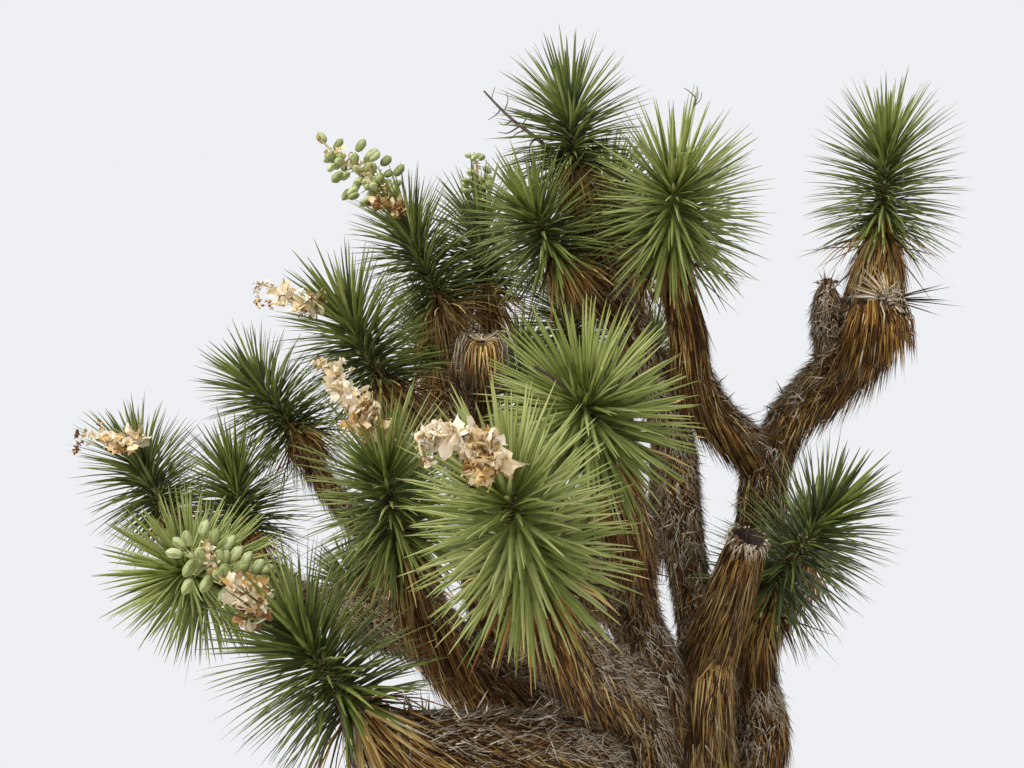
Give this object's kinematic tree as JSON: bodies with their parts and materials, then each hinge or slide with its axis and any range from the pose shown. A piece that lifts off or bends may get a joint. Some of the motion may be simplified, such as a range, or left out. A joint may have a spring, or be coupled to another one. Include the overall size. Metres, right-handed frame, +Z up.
{
  "type": "joshua tree",
  "caption": "Whole Joshua tree with a short flared trunk, thick forking boughs and round heads of dagger leaves, rooted at a flat ground cut.",
  "frame": {"origin": "middle of the flat cut under the trunk, at ground level", "axes": "+Z up along the trunk, +X to the tree's right seen from its front, +Y to its back"},
  "size_m": [3.4785, 3.3466, 4.11],
  "materials": {
    "bark": "rough furrowed bark under dry leaves",
    "leaf": "waxy stiff leaf blades",
    "dead_leaf": "dry leaf thatch",
    "blossom": "papery dry flower stalks and bracts",
    "fruit": "matte green seed capsules"
  },
  "bodies": {
    "root": {"bough_back_left": "bark", "bough_back_low": "bark", "bough_back_mid": "bark", "bough_back_right": "bark", "bough_back_top": "bark", "bough_back_upper": "bark", "bough_centre": "bark", "bough_far_left": "bark", "bough_far_right": "bark", "bough_front": "bark", "bough_left": "bark", "bough_left_back": "bark", "bough_left_inner": "bark", "bough_left_low": "bark", "bough_left_mid": "bark", "bough_left_under": "bark", "bough_left_upper": "bark", "bough_low_left": "bark", "bough_lower_right": "bark", "bough_mid_left": "bark", "bough_mid_right": "bark", "bough_right": "bark", "bough_right_back": "bark", "bough_top": "bark", "bough_top_back": "bark", "bough_upper_left": "bark", "bough_upper_left_back": "bark", "bough_upper_middle": "bark", "bough_upper_right": "bark", "leaves_back_left": "leaf", "leaves_back_low": "leaf", "leaves_back_mid": "leaf", "leaves_back_right": "leaf", "leaves_back_top": "leaf", "leaves_back_upper": "leaf", "leaves_far_left": "leaf", "leaves_far_right": "leaf", "leaves_front": "leaf", "leaves_left_back": "leaf", "leaves_left_inner": "leaf", "leaves_left_low": "leaf", "leaves_left_mid": "leaf", "leaves_left_under": "leaf", "leaves_left_upper": "leaf", "leaves_low_left": "leaf", "leaves_lower_right": "leaf", "leaves_mid_left": "leaf", "leaves_mid_right": "leaf", "leaves_right_back": "leaf", "leaves_top": "leaf", "leaves_top_back": "leaf", "leaves_upper_left": "leaf", "leaves_upper_left_back": "leaf", "leaves_upper_middle": "leaf", "leaves_upper_right": "leaf", "stub_drooping": "bark", "stub_hollow": "bark", "stub_knob": "bark", "trunk": "bark"}
  },
  "joints": []
}
